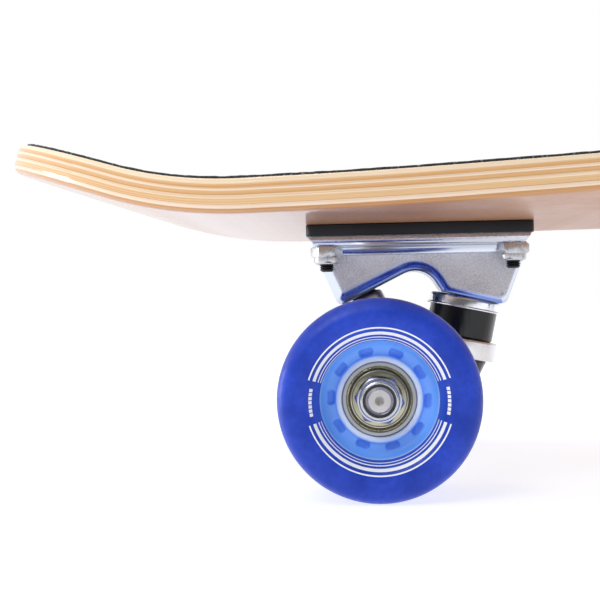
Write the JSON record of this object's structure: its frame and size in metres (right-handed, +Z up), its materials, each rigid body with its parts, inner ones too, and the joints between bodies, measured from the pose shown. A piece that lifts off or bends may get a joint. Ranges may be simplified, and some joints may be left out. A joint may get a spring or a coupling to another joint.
{
  "type": "skateboard",
  "caption": "Kicked ply deck with grip on top, riding on sprung steering trucks and urethane wheels that spin on ball bearings.",
  "frame": {"origin": "on the ground under the middle of the board, the bottom centre of its box", "axes": "+X along the board towards the tail, nose at -X; +Y across the board; +Z up"},
  "size_m": [0.7106, 0.203, 0.1171],
  "materials": {
    "deck_wood": "clear-lacquered maple plies",
    "grip": "coarse black abrasive grit",
    "riser": "semi-matt moulded",
    "baseplate_steel": "bright zinc-plated drawn sheet",
    "black_steel": "black oxide",
    "zinc_nut": "bright zinc plate",
    "kingpin_steel": "zinc-plated steel",
    "cup_washer": "bright nickel",
    "bushing": "smooth urethane",
    "pivot_cup": "semi-matt",
    "hanger_metal": "polished cast",
    "axle_steel": "ground steel",
    "bearing_steel": "ground and polished",
    "bearing_shield": "yellow-passivated sheet steel",
    "ball_steel": "polished",
    "cage": "pressed",
    "tyre": "translucent cast urethane",
    "core": "translucent moulded nylon"
  },
  "bodies": {
    "board": {"deck": "deck_wood", "grip_tape": "grip", "riser_pad_front": "riser", "baseplate_front": "baseplate_steel", "bolts_front": "black_steel", "bolt_nuts_front": "zinc_nut", "kingpin_front": "kingpin_steel", "kingpin_nut_front": "zinc_nut", "pivot_cup_front": "pivot_cup", "washer_upper_front": "cup_washer", "bushing_upper_front": "bushing", "bushing_lower_front": "bushing", "washer_lower_front": "cup_washer", "riser_pad_rear": "riser", "baseplate_rear": "baseplate_steel", "bolts_rear": "black_steel", "bolt_nuts_rear": "zinc_nut", "kingpin_rear": "kingpin_steel", "kingpin_nut_rear": "zinc_nut", "pivot_cup_rear": "pivot_cup", "washer_upper_rear": "cup_washer", "bushing_upper_rear": "bushing", "bushing_lower_rear": "bushing", "washer_lower_rear": "cup_washer"},
    "hanger_front": {"hanger_front": "hanger_metal", "axle_front": "axle_steel", "axle_nuts_front": "zinc_nut", "speed_washers_front": "zinc_nut", "spacers_front": "axle_steel", "inner_races_front": "bearing_steel"},
    "hanger_rear": {"hanger_rear": "hanger_metal", "axle_rear": "axle_steel", "axle_nuts_rear": "zinc_nut", "speed_washers_rear": "zinc_nut", "spacers_rear": "axle_steel", "inner_races_rear": "bearing_steel"},
    "wheel_front_left": {"tyre_front_left": "tyre", "core_front_left": "core", "outer_races_front_left": "bearing_steel", "shields_front_left": "bearing_shield"},
    "cages_front_left": {"balls_front_left": "ball_steel", "cages_front_left": "cage"},
    "wheel_front_right": {"tyre_front_right": "tyre", "core_front_right": "core", "outer_races_front_right": "bearing_steel", "shields_front_right": "bearing_shield"},
    "cages_front_right": {"balls_front_right": "ball_steel", "cages_front_right": "cage"},
    "wheel_rear_left": {"tyre_rear_left": "tyre", "core_rear_left": "core", "outer_races_rear_left": "bearing_steel", "shields_rear_left": "bearing_shield"},
    "cages_rear_left": {"balls_rear_left": "ball_steel", "cages_rear_left": "cage"},
    "wheel_rear_right": {"tyre_rear_right": "tyre", "core_rear_right": "core", "outer_races_rear_right": "bearing_steel", "shields_rear_right": "bearing_shield"},
    "cages_rear_right": {"balls_rear_right": "ball_steel", "cages_rear_right": "cage"}
  },
  "joints": [
    {"name": "steer_front", "type": "hinge", "parent": "board", "child": "hanger_front", "pos_m": [-0.19794, 0, 0.04148], "axis": [0.8293, 0, -0.5588], "range_deg": [-12, 12], "stiffness_Nm_per_rad": 40, "deforming": ["bushing_upper_front", "bushing_lower_front"]},
    {"name": "steer_rear", "type": "hinge", "parent": "board", "child": "hanger_rear", "pos_m": [0.19794, 0, 0.04148], "axis": [-0.8293, 0, -0.5588], "range_deg": [-12, 12], "stiffness_Nm_per_rad": 40, "deforming": ["bushing_upper_rear", "bushing_lower_rear"]},
    {"name": "wheel_spin_front_left", "type": "hinge", "parent": "hanger_front", "child": "wheel_front_left", "pos_m": [-0.226, -0.075, 0.0295], "axis": [0, 1, 0], "continuous": true},
    {"name": "cage_spin_front_left", "type": "hinge", "parent": "hanger_front", "child": "cages_front_left", "pos_m": [-0.226, -0.075, 0.0295], "axis": [0, 1, 0], "continuous": true},
    {"name": "wheel_spin_front_right", "type": "hinge", "parent": "hanger_front", "child": "wheel_front_right", "pos_m": [-0.226, 0.075, 0.0295], "axis": [0, 1, 0], "continuous": true},
    {"name": "cage_spin_front_right", "type": "hinge", "parent": "hanger_front", "child": "cages_front_right", "pos_m": [-0.226, 0.075, 0.0295], "axis": [0, 1, 0], "continuous": true},
    {"name": "wheel_spin_rear_left", "type": "hinge", "parent": "hanger_rear", "child": "wheel_rear_left", "pos_m": [0.226, -0.075, 0.0295], "axis": [0, 1, 0], "continuous": true},
    {"name": "cage_spin_rear_left", "type": "hinge", "parent": "hanger_rear", "child": "cages_rear_left", "pos_m": [0.226, -0.075, 0.0295], "axis": [0, 1, 0], "continuous": true},
    {"name": "wheel_spin_rear_right", "type": "hinge", "parent": "hanger_rear", "child": "wheel_rear_right", "pos_m": [0.226, 0.075, 0.0295], "axis": [0, 1, 0], "continuous": true},
    {"name": "cage_spin_rear_right", "type": "hinge", "parent": "hanger_rear", "child": "cages_rear_right", "pos_m": [0.226, 0.075, 0.0295], "axis": [0, 1, 0], "continuous": true}
  ],
  "couplings": [
    {"joint": "cage_spin_front_left", "follows": "wheel_spin_front_left", "ratio": 0.632},
    {"joint": "cage_spin_front_right", "follows": "wheel_spin_front_right", "ratio": 0.632},
    {"joint": "cage_spin_rear_left", "follows": "wheel_spin_rear_left", "ratio": 0.632},
    {"joint": "cage_spin_rear_right", "follows": "wheel_spin_rear_right", "ratio": 0.632}
  ]
}
